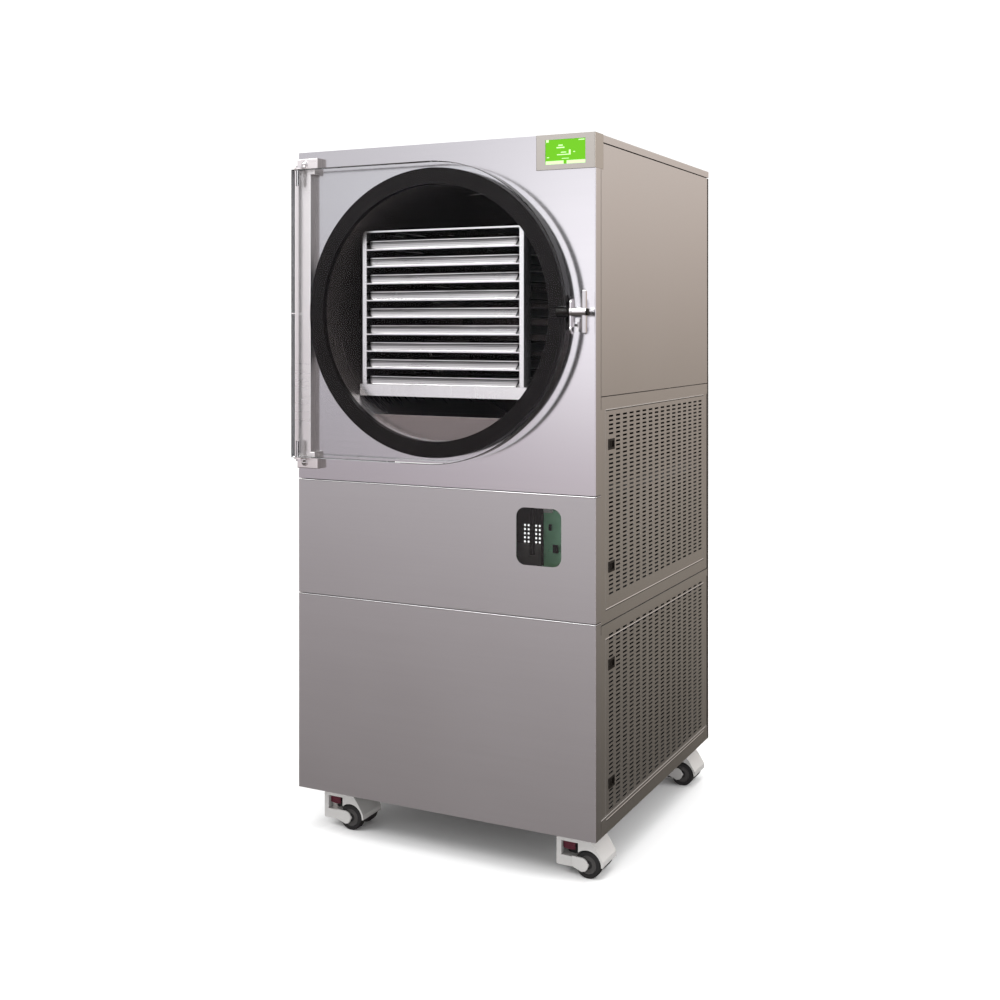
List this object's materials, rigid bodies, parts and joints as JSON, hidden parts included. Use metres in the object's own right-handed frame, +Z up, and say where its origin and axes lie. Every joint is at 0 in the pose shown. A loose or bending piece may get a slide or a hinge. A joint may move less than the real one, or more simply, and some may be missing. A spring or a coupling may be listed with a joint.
{
  "type": "freeze dryer",
  "caption": "Tall cabinet freeze dryer: a round vacuum chamber with shelved trays behind a clear hinged door, vented side covers, a corner touch screen and levelling casters.",
  "frame": {"origin": "bottom centre of the whole machine, on the floor", "axes": "+X to the right seen from the front, +Y to the back, +Z up"},
  "size_m": [0.81, 0.935, 1.704],
  "materials": {
    "polished_steel": "polished stainless fascia",
    "brushed_steel": "satin stainless covers",
    "frame_steel": "grey painted frame",
    "bezel_plastic": "light warm grey",
    "screen": "lit touch screen",
    "clear_pane": "clear window",
    "acrylic": "clear acrylic slab",
    "gasket": "black rubber",
    "chamber_steel": "polished inside",
    "tray_steel": "satin tray",
    "hinge_steel": "satin bar",
    "bright_steel": "bright hardware",
    "black_insert": "black insert and bolt",
    "caster_ivory": "ivory painted casting",
    "wheel_black": "black tread",
    "foot_black": "black foot, maroon dial",
    "latch_black": "black plastic",
    "pump_paint": "grey paint",
    "compressor_paint": "black paint",
    "coil": "fins",
    "fan_plastic": "fan",
    "board_green": "green board",
    "valve_brass": "brass valve",
    "lever_red": "dipped lever"
  },
  "bodies": {
    "cabinet": {"cabinet_frame": "frame_steel", "floor_pan": "frame_steel", "caster_mount_plates": "bright_steel", "fascia_panel": "polished_steel", "service_panel": "brushed_steel", "lower_front_panel": "brushed_steel", "window_pane": "clear_pane", "display_bezel": "bezel_plastic", "touch_screen": "screen", "top_cover": "brushed_steel", "right_upper_panel": "brushed_steel", "right_middle_grille": "brushed_steel", "right_lower_grille": "brushed_steel", "left_side_panel": "brushed_steel", "panel_latch_housings": "latch_black", "back_panel": "brushed_steel", "power_inlet": "latch_black", "drain_valve": "valve_brass", "chamber": "chamber_steel", "door_gasket": "gasket", "tray_rack": "tray_steel", "tray_1": "tray_steel", "tray_2": "tray_steel", "tray_3": "tray_steel", "tray_4": "tray_steel", "tray_5": "tray_steel", "tray_6": "tray_steel", "tray_7": "tray_steel", "tray_8": "tray_steel", "tray_9": "tray_steel", "hinge_bar": "hinge_steel", "hinge_pins": "bright_steel", "keeper": "bright_steel", "compressor": "compressor_paint", "vacuum_pump": "pump_paint", "condenser_coil": "coil", "control_board": "board_green"},
    "door": {"door_slab": "acrylic", "latch_bolt": "black_insert"},
    "latch": {"latch_hook": "bright_steel", "latch_handle": "bright_steel"},
    "fan": {"fan_rotor": "fan_plastic"},
    "switch": {"power_switch": "latch_black"},
    "drain_lever": {"valve_lever": "lever_red"},
    "caster_front_left": {"caster_housing_front_left": "caster_ivory"},
    "wheels_front_left": {"caster_wheels_front_left": "wheel_black"},
    "foot_front_left": {"levelling_foot_front_left": "foot_black"},
    "caster_front_right": {"caster_housing_front_right": "caster_ivory"},
    "wheels_front_right": {"caster_wheels_front_right": "wheel_black"},
    "foot_front_right": {"levelling_foot_front_right": "foot_black"},
    "caster_rear_left": {"caster_housing_rear_left": "caster_ivory"},
    "wheels_rear_left": {"caster_wheels_rear_left": "wheel_black"},
    "foot_rear_left": {"levelling_foot_rear_left": "foot_black"},
    "caster_rear_right": {"caster_housing_rear_right": "caster_ivory"},
    "wheels_rear_right": {"caster_wheels_rear_right": "wheel_black"},
    "foot_rear_right": {"levelling_foot_rear_right": "foot_black"},
    "panel_latch_1": {"panel_latch_slider_1": "latch_black"},
    "panel_latch_2": {"panel_latch_slider_2": "latch_black"},
    "panel_latch_3": {"panel_latch_slider_3": "latch_black"},
    "panel_latch_4": {"panel_latch_slider_4": "latch_black"}
  },
  "joints": [
    {"name": "door_hinge", "type": "hinge", "parent": "cabinet", "child": "door", "pos_m": [-0.373, -0.4525, 1.2985], "axis": [0, 0, -1], "range_deg": [0, 130]},
    {"name": "latch_turn", "type": "hinge", "parent": "door", "child": "latch", "pos_m": [0.394, -0.4525, 1.2985], "axis": [1, 0, 0], "range_deg": [0, 40]},
    {"name": "fan_spin", "type": "hinge", "parent": "cabinet", "child": "fan", "pos_m": [0.275, 0.0095, 0.272], "axis": [1, 0, 0], "continuous": true},
    {"name": "power_rocker", "type": "hinge", "parent": "cabinet", "child": "switch", "pos_m": [0.28, 0.4265, 0.298], "axis": [-1, 0, 0], "range_deg": [0, 16]},
    {"name": "drain_turn", "type": "hinge", "parent": "cabinet", "child": "drain_lever", "pos_m": [-0.25, 0.4445, 0.284], "axis": [0, 0, 1], "range_deg": [0, 90]},
    {"name": "swivel_front_left", "type": "hinge", "parent": "cabinet", "child": "caster_front_left", "pos_m": [-0.322, -0.3255, 0.097], "axis": [0, 0, 1], "continuous": true},
    {"name": "roll_front_left", "type": "hinge", "parent": "caster_front_left", "child": "wheels_front_left", "pos_m": [-0.278, -0.3255, 0.031], "axis": [0, 1, 0], "continuous": true},
    {"name": "level_front_left", "type": "slide", "parent": "caster_front_left", "child": "foot_front_left", "axis": [0, 0, -1], "range_m": [0, 0.012]},
    {"name": "swivel_front_right", "type": "hinge", "parent": "cabinet", "child": "caster_front_right", "pos_m": [0.322, -0.3255, 0.097], "axis": [0, 0, 1], "continuous": true},
    {"name": "roll_front_right", "type": "hinge", "parent": "caster_front_right", "child": "wheels_front_right", "pos_m": [0.366, -0.3255, 0.031], "axis": [0, 1, 0], "continuous": true},
    {"name": "level_front_right", "type": "slide", "parent": "caster_front_right", "child": "foot_front_right", "axis": [0, 0, -1], "range_m": [0, 0.012]},
    {"name": "swivel_rear_left", "type": "hinge", "parent": "cabinet", "child": "caster_rear_left", "pos_m": [-0.322, 0.3475, 0.097], "axis": [0, 0, 1], "continuous": true},
    {"name": "roll_rear_left", "type": "hinge", "parent": "caster_rear_left", "child": "wheels_rear_left", "pos_m": [-0.278, 0.3475, 0.031], "axis": [0, 1, 0], "continuous": true},
    {"name": "level_rear_left", "type": "slide", "parent": "caster_rear_left", "child": "foot_rear_left", "axis": [0, 0, -1], "range_m": [0, 0.012]},
    {"name": "swivel_rear_right", "type": "hinge", "parent": "cabinet", "child": "caster_rear_right", "pos_m": [0.322, 0.3475, 0.097], "axis": [0, 0, 1], "continuous": true},
    {"name": "roll_rear_right", "type": "hinge", "parent": "caster_rear_right", "child": "wheels_rear_right", "pos_m": [0.366, 0.3475, 0.031], "axis": [0, 1, 0], "continuous": true},
    {"name": "level_rear_right", "type": "slide", "parent": "caster_rear_right", "child": "foot_rear_right", "axis": [0, 0, -1], "range_m": [0, 0.012]},
    {"name": "panel_latch_slide_1", "type": "slide", "parent": "cabinet", "child": "panel_latch_1", "axis": [0, 1, 0], "range_m": [0, 0.009]},
    {"name": "panel_latch_slide_2", "type": "slide", "parent": "cabinet", "child": "panel_latch_2", "axis": [0, 1, 0], "range_m": [0, 0.009]},
    {"name": "panel_latch_slide_3", "type": "slide", "parent": "cabinet", "child": "panel_latch_3", "axis": [0, 1, 0], "range_m": [0, 0.009]},
    {"name": "panel_latch_slide_4", "type": "slide", "parent": "cabinet", "child": "panel_latch_4", "axis": [0, 1, 0], "range_m": [0, 0.009]}
  ]
}
